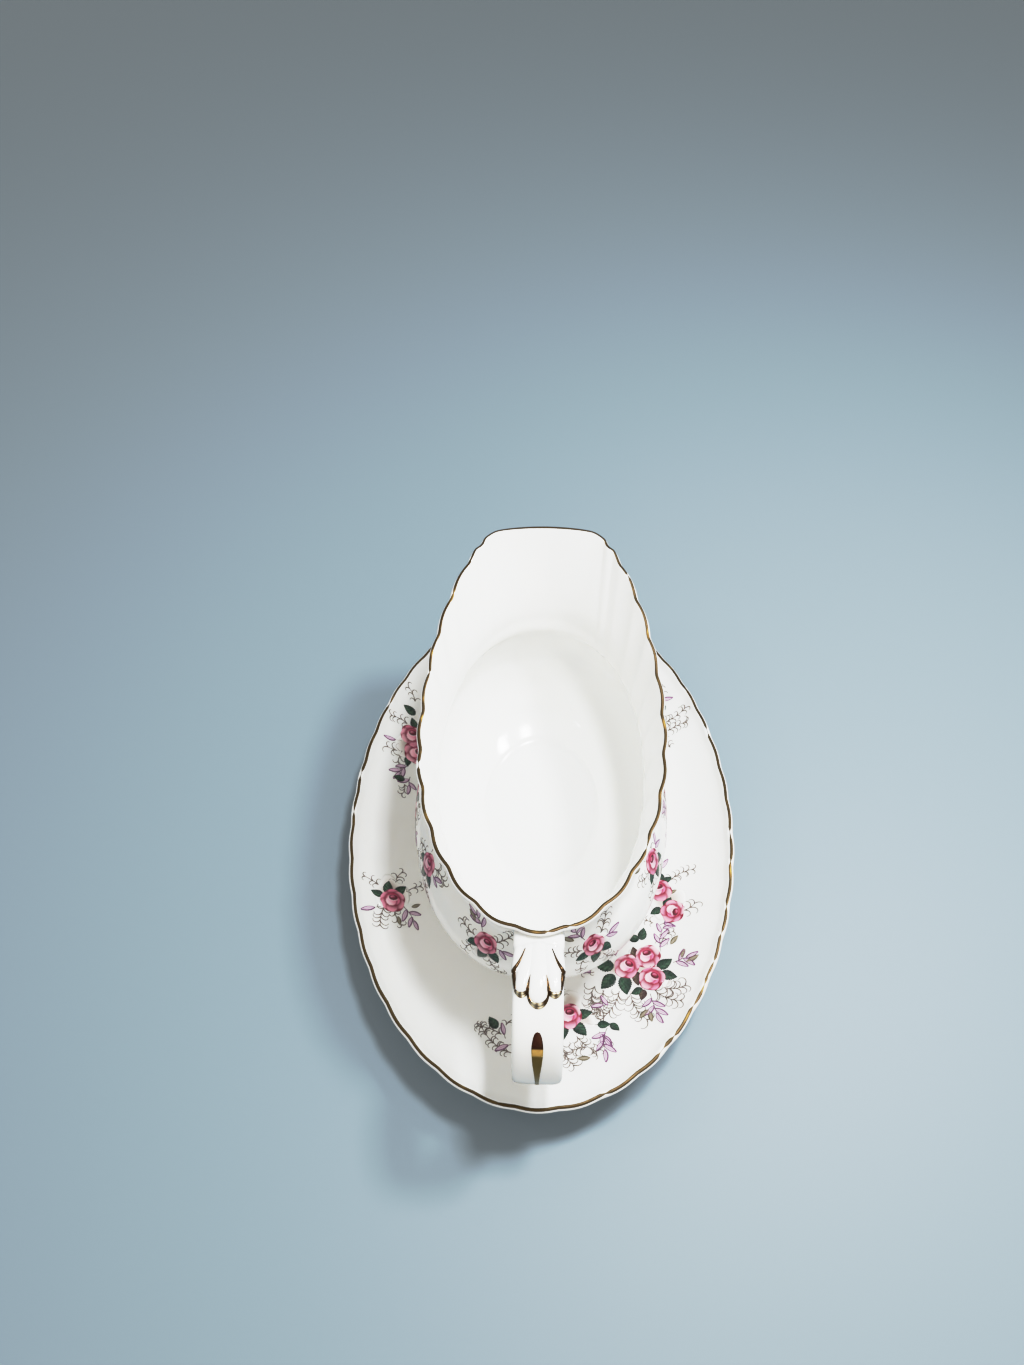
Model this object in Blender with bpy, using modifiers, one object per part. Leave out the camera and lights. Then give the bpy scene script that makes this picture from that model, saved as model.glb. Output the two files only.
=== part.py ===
"""Bone china gravy boat standing loose in the well of its oval stand.

The row frame is in metres: the origin is the middle of the stand on the table, +Z is up and
+X runs to the spout. The pieces are mirror images of themselves across the XZ plane. The boat
lifts straight up out of the stand; a foot, a handle and a leaf are fixed to its bowl.
"""
import math

import bmesh
import bpy
from mathutils import Vector
from mathutils.bvhtree import BVHTree

MM = 0.001
GAP = 0.3 * MM                    # play kept between pieces that touch

# Stand, an oval dish on an oval foot. A row is the half length, the half width and the height
# of an oval on its underside, from the middle of the well out to the rim.
STAND_UNDERSIDE = [
    (23.0, 16.0, 4.8),
    (46.0, 32.5, 4.8),            # edge of the well that holds the boat's foot
    (53.0, 38.0, 6.5),
    (66.0, 46.5, 6.5),            # flat band that the foot ring meets
    (80.0, 55.0, 8.2),
    (92.0, 62.8, 11.2),
    (102.0, 69.6, 15.6),
    (108.6, 74.0, 19.4),
    (112.3, 76.3, 22.6),          # rim, 225 mm by 153 mm over its lobes
]
STAND_LOBES = 40
STAND_LOBE_DEPTH = [0, 0, 0, 0, 0, 0.1, 0.25, 0.4, 0.5]   # one for each row
STAND_WALL = 2.4 * MM
STAND_WELL_FLOOR = STAND_UNDERSIDE[0][2] * MM + STAND_WALL
STAND_FOOT_OUTER = (61.0, 42.0)
STAND_FOOT_INNER = (56.5, 37.5)
STAND_FOOT_FLARE = 1.2            # how much wider the foot ring is at its top
STAND_FOOT_TOP = STAND_UNDERSIDE[3][2] * MM - GAP

# Boat. The foot stands off the middle of the well, towards the spout.
FOOT_CENTRE = 6.0
FOOT_HEIGHT = 6.6 * MM
FOOT_BOTTOM = STAND_WELL_FLOOR + GAP
FOOT_TOP = FOOT_BOTTOM + FOOT_HEIGHT
FOOT_WAIST = FOOT_BOTTOM + 0.55 * FOOT_HEIGHT
FOOT_OUTER = (36.0, 25.5)         # half length and half width of the foot's outer bottom edge
BASE = (FOOT_TOP + GAP) / MM      # underside of the bowl
BOWL_WALL = 2.2 * MM

# An oval of the bowl's outside is its back end, its widest place and its front end along X,
# its half width, its height, how fully it follows the rising rim, and its lobes' depth.
BOWL_OVALS = [
    (-28.0, 6.0, 40.0, 23.5, BASE, 0.00, 0.0),
    (-46.0, 2.0, 52.5, 33.5, 19.6, 0.00, 0.0),
    (-63.0, -3.0, 61.5, 42.8, 28.5, 0.00, 0.0),
    (-72.6, -5.0, 66.0, 46.8, 38.5, 0.00, 0.1),
    (-73.8, -5.0, 67.0, 47.0, 46.0, 0.00, 0.1),
    (-71.3, -3.0, 67.2, 43.8, 55.0, 0.03, 0.2),
    (-67.6, 0.0, 68.0, 39.6, 62.0, 0.10, 0.3),           # neck
    (-68.6, 2.0, 72.6, 40.6, 69.0, 0.35, 0.6),
    (-73.0, 3.5, 96.0, 44.4, 78.0, 1.00, 1.0),           # rim, before the lip is cut
]
BELLY_POWER = 2.2                 # superellipse power of the fullest ovals; 2 is an ellipse
BOWL_LEVELS = [0, 0.5, 1, 1.5, 2, 3, 4, 5, 5.5, 6, 6.5, 7, 7.5, 8]   # places among the ovals
SPOUT_RISE = 18.5                 # how far the lip stands above the sides of the rim
SPOUT_RISE_START = -10.0
SPOUT_RISE_LENGTH = 97.0
SPOUT_RISE_POWER = 1.6
BACK_RISE = 2.0
BACK_RISE_START = -40.0
BACK_RISE_LENGTH = 34.0
BACK_RISE_POWER = 1.5
LIP_X = 86.6                      # the pouring lip cuts the front of the rim off here
LIP_BOW = 2.0                     # how far the lip's middle stands out past its corners
LIP_HALF_WIDTH = 20.0
LIP_SOFTNESS = 1.2
RIM_LOBES = 11.5                  # on each side, from the lip's corner to the middle of the back

# Handle, a strap whose middle line runs from the back of the rim round to the belly.
HANDLE_LINE = [
    (-75.0, 75.6), (-81.0, 76.2), (-88.5, 76.2), (-97.0, 73.8), (-103.8, 68.0), (-107.6, 59.5),
    (-107.2, 50.5), (-103.2, 42.8), (-96.4, 37.2), (-88.2, 34.3), (-81.0, 33.5), (-75.0, 33.6),
]
HANDLE_WIDTH = 15.5 * MM
HANDLE_THICKNESS = 5.0 * MM
HANDLE_POWER = 4.0
HANDLE_STEPS = 26
HANDLE_SIDES = 16
HANDLE_END_SCALES = (0.15, 0.45, 0.75, 1.0)   # rings of points over each end
HANDLE_END_GAP = 1.7 * GAP

# Leaf in relief on top of the handle: its distance along the handle, its half width there.
LEAF_OUTLINE = [
    (2.0, 5.2), (7.0, 7.0), (12.0, 7.9), (15.6, 7.4), (16.6, 4.4), (18.6, 3.4), (20.0, 1.2),
]
LEAF_THICKNESS = 1.3 * MM
LEAF_EDGE_LOSS = 0.5              # share of its thickness that the leaf loses at its edges
LEAF_ACROSS = 6


def signed_power(value, power):
    return math.copysign(abs(value) ** power, value)


def spline(knots, place):
    """Catmull-Rom through the knots, which are tuples; place counts knots from the first."""
    last = len(knots) - 1
    i = min(int(place), last - 1)
    f = place - i
    a, b, c, d = (knots[min(max(k, 0), last)] for k in (i - 1, i, i + 1, i + 2))
    return tuple(
        0.5 * (2 * q + (r - p) * f + (2 * p - 5 * q + 4 * r - s) * f * f + (3 * q - p - 3 * r + s) * f ** 3)
        for p, q, r, s in zip(a, b, c, d))


def even_angles(ring, start, end, steps, fine=600):
    """Angles from start to end whose points on the ring are the same distance apart."""
    angles = [start + (end - start) * i / fine for i in range(fine + 1)]
    points = [ring(angle) for angle in angles]
    lengths = [0.0]
    for a, b in zip(points, points[1:]):
        lengths.append(lengths[-1] + math.dist(a, b))
    result = []
    k = 0
    for i in range(steps + 1):
        goal = lengths[-1] * i / steps
        while k < fine - 1 and lengths[k + 1] < goal:
            k += 1
        share = (goal - lengths[k]) / (lengths[k + 1] - lengths[k])
        result.append(angles[k] + (angles[k + 1] - angles[k]) * share)
    return result


def lobe(place):
    """Outline of one soft lobe: 0.5 in its middle, -0.5 in the notch between two."""
    notch_softness = 0.03
    middle = 0.56
    return math.sqrt(math.sin(math.pi * place) ** 2 + notch_softness) - middle


def make_material(name, colour, roughness):
    material = bpy.data.materials.new(name)
    material.use_nodes = True
    shader = material.node_tree.nodes["Principled BSDF"]
    shader.inputs["Base Color"].default_value = (*colour, 1.0)
    shader.inputs["Roughness"].default_value = roughness
    return material


def add_object(name, mesh, material):
    item = bpy.data.objects.new(name, mesh)
    mesh.materials.append(material)
    bpy.data.collections["gravy_boat"].objects.link(item)
    return item


def loft(name, rings, closed_ends=(False, False), closed_loop=False):
    """Mesh through rings of equally many points, each end open, or closed by a face."""
    bm = bmesh.new()
    loops = [[bm.verts.new(point) for point in ring] for ring in rings]
    pairs = list(zip(loops, loops[1:]))
    if closed_loop:
        pairs.append((loops[-1], loops[0]))
    for low, high in pairs:
        count = len(low)
        for i in range(count):
            j = (i + 1) % count
            bm.faces.new((low[i], low[j], high[j], high[i]))
    if closed_ends[0]:
        bm.faces.new(reversed(loops[0]))
    if closed_ends[1]:
        bm.faces.new(loops[-1])
    bm.normal_update()
    mesh = bpy.data.meshes.new(name)
    bm.to_mesh(mesh)
    bm.free()
    mesh.shade_smooth()
    return mesh


def face_outwards(mesh):
    bm = bmesh.new()
    bm.from_mesh(mesh)
    bmesh.ops.recalc_face_normals(bm, faces=bm.faces)
    bm.to_mesh(mesh)
    bm.free()


def face_down(mesh):
    """Turn every face over if the faces of an open surface look up on the whole."""
    if sum(polygon.normal.z * polygon.area for polygon in mesh.polygons) > 0:
        mesh.flip_normals()


def thicken_inwards(item, thickness):
    """Make a shell of an open surface, growing away from the side its faces look to."""
    solidify = item.modifiers.new("wall", "SOLIDIFY")
    solidify.thickness = thickness
    solidify.offset = -1.0
    solidify.use_even_offset = True
    solidify.use_rim = True


# Stand

def stand_rim(angle):
    half_length, half_width, _ = STAND_UNDERSIDE[-1]
    return (half_length * math.cos(angle), half_width * math.sin(angle))


def stand_point(row, angle, place):
    """Point on the underside of the dish, on one of its ovals."""
    half_length, half_width, height = STAND_UNDERSIDE[row]
    bulge = STAND_LOBE_DEPTH[row] * lobe(place)
    x = (half_length + bulge) * math.cos(angle)
    y = (half_width + bulge) * math.sin(angle)
    return Vector((x, y, height)) * MM


def make_stand_dish(china):
    steps = 2 * STAND_LOBES
    angles = even_angles(stand_rim, 0.0, 2 * math.pi, steps)[:-1]
    rings = []
    for row in range(len(STAND_UNDERSIDE)):
        rings.append([stand_point(row, angle, i / 2 + 0.5) for i, angle in enumerate(angles)])
    mesh = loft("stand_dish", rings, closed_ends=(True, False))
    face_down(mesh)
    thicken_inwards(add_object("stand_dish", mesh, china), STAND_WALL)


def oval_ring(half_length, half_width, height, centre=0.0, steps=64):
    ring = []
    for i in range(steps):
        angle = 2 * math.pi * i / steps
        x = centre + half_length * math.cos(angle)
        ring.append(Vector((x * MM, half_width * math.sin(angle) * MM, height)))
    return ring


def make_stand_foot_ring(china):
    outer_x, outer_y = STAND_FOOT_OUTER
    inner_x, inner_y = STAND_FOOT_INNER
    rings = [
        oval_ring(outer_x, outer_y, 0.0),
        oval_ring(outer_x + STAND_FOOT_FLARE, outer_y + STAND_FOOT_FLARE, STAND_FOOT_TOP),
        oval_ring(inner_x, inner_y, STAND_FOOT_TOP),
        oval_ring(inner_x, inner_y, 0.0),
    ]
    mesh = loft("stand_foot_ring", rings, closed_loop=True)
    face_outwards(mesh)
    add_object("stand_foot_ring", mesh, china)


# Boat

def superellipse(back, middle, front, half_width, power, angle):
    reach = front - middle if math.cos(angle) > 0 else middle - back
    x = middle + reach * signed_power(math.cos(angle), 2 / power)
    y = half_width * signed_power(math.sin(angle), 2 / power)
    return x, y


def cut_lip(x, y):
    """Take the front of the rim off along the softly bowed pouring lip."""
    limit = LIP_X - LIP_BOW * (y / LIP_HALF_WIDTH) ** 2
    return -LIP_SOFTNESS * math.log(math.exp(-x / LIP_SOFTNESS) + math.exp(-limit / LIP_SOFTNESS))


def rim_outline(angle):
    back, middle, front, half_width = BOWL_OVALS[-1][:4]
    x, y = superellipse(back, middle, front, half_width, 2, angle)
    return cut_lip(x, y), y


def rim_rise(x):
    to_spout = max(0.0, (x - SPOUT_RISE_START) / SPOUT_RISE_LENGTH)
    to_back = max(0.0, (BACK_RISE_START - x) / BACK_RISE_LENGTH)
    return SPOUT_RISE * to_spout ** SPOUT_RISE_POWER + BACK_RISE * to_back ** BACK_RISE_POWER


def bowl_oval_point(row, angle, place):
    """Point on one of the bowl's ovals, in millimetres."""
    back, middle, front, half_width, height, follow, depth = BOWL_OVALS[row]
    is_rim = row == len(BOWL_OVALS) - 1
    fullness = math.sin(math.pi * row / (len(BOWL_OVALS) - 1))
    power = 2 + (BELLY_POWER - 2) * fullness
    x, y = superellipse(back, middle, front, half_width, power, angle)
    bulge = depth * lobe(place)
    x += bulge * math.cos(angle)
    y += bulge * math.sin(angle)
    if is_rim:
        x = cut_lip(x, y)
    return x, y, height + follow * rim_rise(x)


def bowl_point(level, angle, place):
    """Point on the outside of the bowl; level counts ovals from the base up."""
    knots = [bowl_oval_point(row, angle, place) for row in range(len(BOWL_OVALS))]
    return Vector(spline(knots, level)) * MM


def lip_corner_angle():
    _, middle, front, _ = BOWL_OVALS[-1][:4]
    return math.acos((LIP_X - LIP_BOW - middle) / (front - middle))


def bowl_stations(per_lobe, lip_steps):
    """Angles round the bowl, each with its place among the lobes; the lip lies in the first notch."""
    corner = lip_corner_angle()
    side_steps = round(RIM_LOBES * per_lobe)
    side = even_angles(rim_outline, corner, math.pi, side_steps)
    left = [(corner * i / lip_steps, 0.0) for i in range(lip_steps)]
    left += [(angle, RIM_LOBES * i / side_steps) for i, angle in enumerate(side)]
    right = [(-angle, place) for angle, place in left[1:-1]]
    return left + right[::-1]


def make_bowl(china):
    stations = bowl_stations(per_lobe=2, lip_steps=3)
    rings = [[bowl_point(level, angle, place) for angle, place in stations] for level in BOWL_LEVELS]
    mesh = loft("boat_bowl", rings, closed_ends=(True, False))
    face_down(mesh)
    skin = bmesh.new()
    skin.from_mesh(mesh)
    tree = BVHTree.FromBMesh(skin)
    skin.free()
    thicken_inwards(add_object("boat_bowl", mesh, china), BOWL_WALL)
    return tree


def make_boat_foot_ring(china):
    profile = [(0, FOOT_BOTTOM), (2.4, FOOT_WAIST), (2.4, FOOT_TOP), (5.6, FOOT_TOP), (3.8, FOOT_BOTTOM)]
    half_length, half_width = FOOT_OUTER
    rings = [oval_ring(half_length - inset, half_width - inset, height, FOOT_CENTRE)
             for inset, height in profile]
    mesh = loft("boat_foot_ring", rings, closed_loop=True)
    face_outwards(mesh)
    add_object("boat_foot_ring", mesh, china)


def handle_frame(share):
    """Middle, direction and outward side of the handle at a share of its line."""
    place = share * (len(HANDLE_LINE) - 1)
    step = 0.01
    x, z = spline(HANDLE_LINE, place)
    before = spline(HANDLE_LINE, max(place - step, 0))
    after = spline(HANDLE_LINE, min(place + step, len(HANDLE_LINE) - 1))
    along = Vector((after[0] - before[0], 0, after[1] - before[1])).normalized()
    outward = Vector((along.z, 0, -along.x))
    return Vector((x, 0, z)) * MM, along, outward


def handle_section(share):
    middle, _, outward = handle_frame(share)
    ring = []
    for i in range(HANDLE_SIDES):
        angle = 2 * math.pi * i / HANDLE_SIDES
        across = 0.5 * HANDLE_WIDTH * signed_power(math.cos(angle), 2 / HANDLE_POWER)
        proud = 0.5 * HANDLE_THICKNESS * signed_power(math.sin(angle), 2 / HANDLE_POWER)
        ring.append(middle + Vector((0, across, 0)) + outward * proud)
    return ring


def scribed_end(share, bowl_tree):
    """Rings, from small to full, that fit one end of the handle to the bowl with a gap."""
    run_up = 8 * MM
    middle, along, _ = handle_frame(share)
    direction = -along if share == 0 else along
    section = handle_section(share)
    rings = []
    for scale in HANDLE_END_SCALES:
        ring = []
        for point in section:
            start = middle.lerp(point, scale) - direction * run_up
            hit, normal, _, _ = bowl_tree.ray_cast(start, direction)
            ring.append(hit - direction * (HANDLE_END_GAP / abs(normal.dot(direction))))
        rings.append(ring)
    return rings


def make_handle(china, bowl_tree):
    sections = [handle_section(i / HANDLE_STEPS) for i in range(HANDLE_STEPS + 1)]
    rings = scribed_end(0, bowl_tree) + sections + scribed_end(1, bowl_tree)[::-1]
    mesh = loft("handle", rings, closed_ends=(True, True))
    face_outwards(mesh)
    add_object("handle", mesh, china)


def leaf_point(distance, across, proud):
    """Point over the handle's outer face, distance being run along it from its root."""
    length = sum(math.dist(a, b) for a, b in zip(HANDLE_LINE, HANDLE_LINE[1:]))
    middle, _, outward = handle_frame(distance / length)
    return middle + Vector((0, across * MM, 0)) + outward * (0.5 * HANDLE_THICKNESS + proud)


def make_leaf(china):
    shares = [-1 + 2 * i / LEAF_ACROSS for i in range(LEAF_ACROSS + 1)]
    rings = []
    for distance, half_width in LEAF_OUTLINE:
        under = []
        over = []
        for s in shares:
            thickness = LEAF_THICKNESS * (1 - LEAF_EDGE_LOSS * s * s)
            under.append(leaf_point(distance, half_width * s, GAP))
            over.append(leaf_point(distance, half_width * s, GAP + thickness))
        rings.append(under + over[::-1])
    mesh = loft("handle_leaf", rings, closed_ends=(True, True))
    face_outwards(mesh)
    add_object("handle_leaf", mesh, china)


def clear_scene():
    for item in list(bpy.data.objects):
        bpy.data.objects.remove(item, do_unlink=True)


def main():
    clear_scene()
    bpy.context.scene.collection.children.link(bpy.data.collections.new("gravy_boat"))
    china = make_material("glazed_china", (0.86, 0.86, 0.84), 0.08)
    make_stand_dish(china)
    make_stand_foot_ring(china)
    bowl_tree = make_bowl(china)
    make_boat_foot_ring(china)
    make_handle(china, bowl_tree)
    make_leaf(china)


main()
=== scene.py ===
"""Looks of a bone china gravy boat and its oval stand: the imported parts' shapes at a finer step.

Lengths are in millimetres until a mesh is made, which takes them to the frame's metres. +X runs to
the spout and +Z up.
"""
import math
import random
from functools import partial

import bpy
import numpy as np
from mathutils import Matrix, Vector
from mathutils.bvhtree import BVHTree


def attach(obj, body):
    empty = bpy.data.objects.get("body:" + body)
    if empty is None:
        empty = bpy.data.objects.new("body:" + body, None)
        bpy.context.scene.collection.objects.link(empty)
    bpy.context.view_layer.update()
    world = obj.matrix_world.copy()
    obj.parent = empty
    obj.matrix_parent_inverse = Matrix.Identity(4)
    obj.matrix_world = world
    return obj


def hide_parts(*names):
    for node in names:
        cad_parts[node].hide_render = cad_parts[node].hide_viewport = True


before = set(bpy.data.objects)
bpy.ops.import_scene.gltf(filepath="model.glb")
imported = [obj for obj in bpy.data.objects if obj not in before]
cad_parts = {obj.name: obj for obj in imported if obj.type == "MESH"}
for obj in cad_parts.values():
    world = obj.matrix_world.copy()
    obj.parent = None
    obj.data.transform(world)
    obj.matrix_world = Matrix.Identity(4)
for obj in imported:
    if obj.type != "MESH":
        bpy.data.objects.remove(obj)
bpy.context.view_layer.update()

MM = 0.001
TRANSLUCENCE = 0.004              # how far light goes through bone china, in metres

# Stand: half length, half width and height of the ovals of its underside, out to the rim
STAND_OVALS = [
    (23, 16, 4.8), (46, 32.5, 4.8), (53, 38, 6.5), (66, 46.5, 6.5), (80, 55, 8.2),
    (92, 62.8, 11.2), (102, 69.6, 15.6), (108.6, 74, 19.4), (112.3, 76.3, 22.6),
]
STAND_LOBES = 40
STAND_LOBE_DEPTH = [0, 0, 0, 0, 0, 0.1, 0.25, 0.4, 0.5]
STAND_WALL = 2.4
EDGE_DROP = 0.45                  # how far below the last oval a wall stops, for its round edge
STAND_FOOT_OUTER = (61.0, 42.0)
STAND_FOOT_WIDTH = 4.5
STAND_FOOT_FLARE = 1.2
STAND_FOOT_TOP = 6.9              # sunk a little into the dish, as slip joins the two

# Boat
FOOT_CENTRE = 6.0
BOAT_FOOT_OUTER = (36.0, 25.5)
FOOT_BOTTOM = 7.25
FOOT_TOP = 14.8
BASE = 14.4
# Back end, widest place, front end, half width, height, share of the rim's rise, depth of the lobes
BOWL_OVALS = [
    (-28, 6, 40, 23.5, BASE, 0, 0),
    (-46, 2, 52.5, 33.5, 19.6, 0, 0),
    (-63, -3, 61.5, 42.8, 28.5, 0, 0),
    (-72.6, -5, 66, 46.8, 38.5, 0, 0.1),
    (-73.8, -5, 67, 47, 46, 0, 0.1),
    (-71.3, -3, 67.2, 43.8, 55, 0.03, 0.2),
    (-67.6, 0, 68, 39.6, 62, 0.10, 0.3),
    (-68.6, 2, 72.6, 40.6, 69, 0.35, 0.6),
    (-73, 3.5, 96, 44.4, 78, 1, 1),
]
BELLY_POWER = 2.2                 # above 2 the ovals of the belly are squarer than an ellipse
BOWL_WALL = 2.2
RIM_WALL = 1.9                    # the wall thins towards its rim
# The rim rises to the spout, and a little to the back
SPOUT_RISE, SPOUT_RISE_START, SPOUT_RISE_LENGTH, SPOUT_RISE_POWER = 18.5, -10.0, 97.0, 1.6
BACK_RISE, BACK_RISE_START, BACK_RISE_LENGTH, BACK_RISE_POWER = 2.0, -40.0, 34.0, 1.5
LIP_X, LIP_BOW, LIP_HALF_WIDTH, LIP_SOFTNESS = 86.6, 2.0, 20.0, 1.2
RIM_LOBES = 11.5
LIP_NOTCH, LIP_NOTCH_WIDTH, LIP_NOTCH_DEPTH = 0.42, 0.13, 1.0     # one more notch in the first lobe
FLOOR_STEP = 0.75                 # the floor inside lies this much below the crease round it
LEDGE, LEDGE_HEIGHT, LEDGE_WIDTH = 0.8, 60.0, 2.6     # the neck stands in over the belly
MIDDLE_RINGS = 12                 # rings that fill the flat middle of the stand and of the bowl

# Handle: x and z of the strap's middle line, from the rim round to the belly
HANDLE_LINE = [
    (-75.0, 75.6), (-81.0, 76.2), (-88.5, 76.2), (-97.0, 73.8), (-103.8, 68.0), (-107.6, 59.5),
    (-107.2, 50.5), (-103.2, 42.8), (-96.4, 37.2), (-88.2, 34.3), (-81.0, 33.5), (-75.0, 33.6),
]
HANDLE_LENGTH = sum(math.dist(a, b) for a, b in zip(HANDLE_LINE, HANDLE_LINE[1:]))
HANDLE_WIDTH = 15.5
HANDLE_THICKNESS = 5.0
HANDLE_POWER = 4.0
HANDLE_SUNK = 0.8                 # how deep the ends go into the wall of the bowl

# Leaf in relief on the handle: root and tip of each lobe (distance along the handle, distance
# across), its half widths there and its height
LEAF_LOBES = [
    ((1.0, 0.0), (17.6, 0.0), (2.4, 3.2), 1.3),
    ((2.5, 3.0), (16.2, 5.0), (2.1, 2.05), 1.05),
    ((3.5, 6.0), (10.6, 7.0), (1.5, 1.3), 0.8),
]
LEAF_ALONG, LEAF_HALF_WIDTH = (-0.5, 21.4), 7.72
LEAF_UNDERSIDE = -0.6             # height of the leaf's top beside its lobes, hidden in the strap

# Gold round the ends of the leaf's lobes: middle and radius of the arc, its turns in degrees and the
# turns at which a glint is painted into its colour
GILT_ARCS = [
    ((17.6, 0.0), 3.1, (-105, 105), (28, -14)),
    ((16.2, 5.0), 1.95, (-100, 70), (34, -12)),
    ((16.2, -5.0), 1.95, (-70, 100), (16, -32)),
]
# how wide each painted glint is
PAINTED_GLINT_WIDTH = 13                  # degrees
# Gold in the leaf's valleys, on both sides: points it runs through, half widths at its ends
GILT_VALLEYS = [
    ([(12.8, 2.45), (14.2, 2.75), (15.6, 3.0), (16.8, 3.2)], (0.10, 0.55)),
    ([(3.5, 4.1), (6.5, 5.1), (9.5, 6.3), (12.0, 7.5)], (0.16, 0.6)),
    ([(12.0, 7.5), (13.8, 7.3), (15.4, 7.1), (16.6, 6.9)], (0.6, 0.42)),
]

# Teardrop on the bend: distance along the handle, half width
TEARDROP = [
    (26.6, 0.05), (26.9, 0.75), (28.2, 1.4), (31.0, 1.8), (35.0, 1.45), (39.0, 0.88), (43.0, 0.62),
    (49.0, 0.45), (54.0, 0.05),
]

# Films of gold and colour
GILT_LIFT, GILT_SUNK = 0.04, 0.15           # above and below the surface of the china
# also the share lost at the dashes, which stand in for glare as painted highlight
GAP_SHARE = 0.42                # share of its width that worn gold loses on each side
UNDER_GLAZE = 0.05                # how far a printed film goes into the china, which closes it
ROSE_MOUTH = np.array([0.05, 0.20])         # middle of its mouth, in a rose of radius one
PRINT_KINDS = ("wash", "fern", "sprig", "bud", "leaf", "vein", "rose")

# Colours, linear
CHINA_COLOUR = (0.86, 0.862, 0.85)
PETAL_PALE = (0.90, 0.60, 0.67)
PETAL_LIGHT = (0.68, 0.20, 0.32)
PETAL_MID = (0.43, 0.050, 0.120)
PETAL_DEEP = (0.20, 0.008, 0.035)
HEART = (0.085, 0.001, 0.012)
LEAF_DARK = (0.004, 0.011, 0.010)
LEAF_MID = (0.012, 0.042, 0.027)
LEAF_LIGHT = (0.085, 0.200, 0.110)
LEAF_BROWN = (0.045, 0.018, 0.018)
FERN = (0.150, 0.118, 0.104)
LAVENDER_LINE = (0.165, 0.065, 0.150)
LAVENDER_FILL = (0.70, 0.55, 0.67)
OLIVE = (0.20, 0.165, 0.10)
SHADOW = (0.42, 0.34, 0.29)
# rim gold: its own brown darkened further, a painted dark reflection of the surroundings
RIM_GOLD_PAINTED_DARK = (0.088, 0.062, 0.030)
# painted highlight: the bright band on the teardrop
GOLD_PAINTED_HIGHLIGHT = (1.0, 0.68, 0.22)
# painted highlight: the pale gold put into the leaf's gold where it would glint
GOLD_PAINTED_GLINT = (1.0, 0.90, 0.68)
GOLD_BROWN = (0.30, 0.20, 0.065)
# painted dark reflection at the teardrop's head
GOLD_PAINTED_DARK_REFLECTION = (0.050, 0.013, 0.010)
# leaf gold: its own brown darkened further, a painted dark reflection
LEAF_GOLD_PAINTED_DARK = (0.085, 0.050, 0.024)
GOLD_TAIL = (0.42, 0.34, 0.16)
LEAF_GREENS = (LEAF_DARK, LEAF_MID, LEAF_LIGHT)
LEAF_BROWNS = (LEAF_BROWN, LEAF_BROWN, OLIVE)
CHINA_CREAM = (0.868, 0.869, 0.845)
CHINA_WHITE = (0.85, 0.856, 0.838)
BARE_LIGHT = (0.80, 0.77, 0.71)
BARE_DARK = (0.70, 0.67, 0.61)
GOLD_CLOUD = (0.10, 0.06, 0.025)
PRINT_PALE = (0.86, 0.84, 0.82)
FLOOR_COLOUR = (0.25, 0.306, 0.348)
KEY_COLOUR = (0.96, 0.985, 1.0)
FILL_COLOUR = (1.0, 0.91, 0.82)
WORLD_COLOUR = (0.98, 0.95, 0.905)
WORLD_STRENGTH = 0.57

# Camera: place, angles in degrees (pitch down, turn to +Y, roll), and lens for its sensor
CAMERA_PLACE = (-181.46, -0.04, 361.35)
CAMERA_ANGLES = (53.958, 3.161, -1.734)
CAMERA_LENS, SENSOR_WIDTH = 24.95, 36.0

# Light in the scene, and how bright it is shown
TONES = (
    (0.06, 0.045), (0.13, 0.105), (0.22, 0.195), (0.32, 0.325), (0.42, 0.485), (0.55, 0.63),
    (0.72, 0.745), (0.92, 0.83), (1.2, 0.885), (1.7, 0.925), (2.5, 0.95),
)
LIT_POINT = (0, 0, 0.04)          # where every light looks, in metres
# Name, place and size in metres, power in watts, colour
LIGHTS = (
    ("key", (0.03, -0.13, 0.62), (0.09, 0.07), 2.1, KEY_COLOUR),
    ("side_key", (0.10, -0.31, 0.575), (0.09, 0.07), 1.8, KEY_COLOUR),
    ("glint", (-0.06, 0.33, 0.54), (0.03, 0.014), 0.08, KEY_COLOUR),
    ("back_fill", (-0.42, -0.12, 0.32), (0.3, 0.3), 0.28, FILL_COLOUR),
)


# Curves and grids

def spline(knots, places, *stations):
    """Points of a curve through the knots, at places counted in knots.

    With stations, a knot is a row of points, and each station in it has its own curve.
    """
    knots = np.asarray(knots, float)
    last = len(knots) - 1
    i = np.clip(places.astype(int), 0, last - 1)
    f = (places - i)[..., None]
    before, start, end, after = (knots[(np.clip(i + k, 0, last), *stations)] for k in (-1, 0, 1, 2))
    return 0.5 * (2 * start + (end - before) * f + (2 * before - 5 * start + 4 * end - after) * f ** 2
                  + (3 * start - before - 3 * end + after) * f ** 3)


def unit(vectors):
    return vectors / np.linalg.norm(vectors, axis=-1, keepdims=True)


def even_angles(outline, start, end, steps):
    """Angles from start to end whose points on the outline are the same distance apart."""
    fine = np.linspace(start, end, 6001)
    points = np.stack(outline(fine), axis=-1)
    lengths = np.concatenate([[0], np.cumsum(np.linalg.norm(np.diff(points, axis=0), axis=1))])
    return np.interp(np.linspace(0, lengths[-1], steps + 1), lengths, fine)


def lobe(place):
    """Outline of one soft lobe: 0.5 in its middle, -0.5 in the notch between two."""
    return np.sqrt(np.sin(np.pi * place) ** 2 + 0.03) - 0.56


def smooth_step(low, high, value):
    t = np.clip((value - low) / (high - low), 0, 1)
    return t * t * (3 - 2 * t)


def shade(low, high, amount):
    """A colour for every amount, from low at 0 to high at 1."""
    low, high = np.asarray(low, float), np.asarray(high, float)
    return low + (high - low) * np.asarray(amount, float)[..., None]


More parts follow.
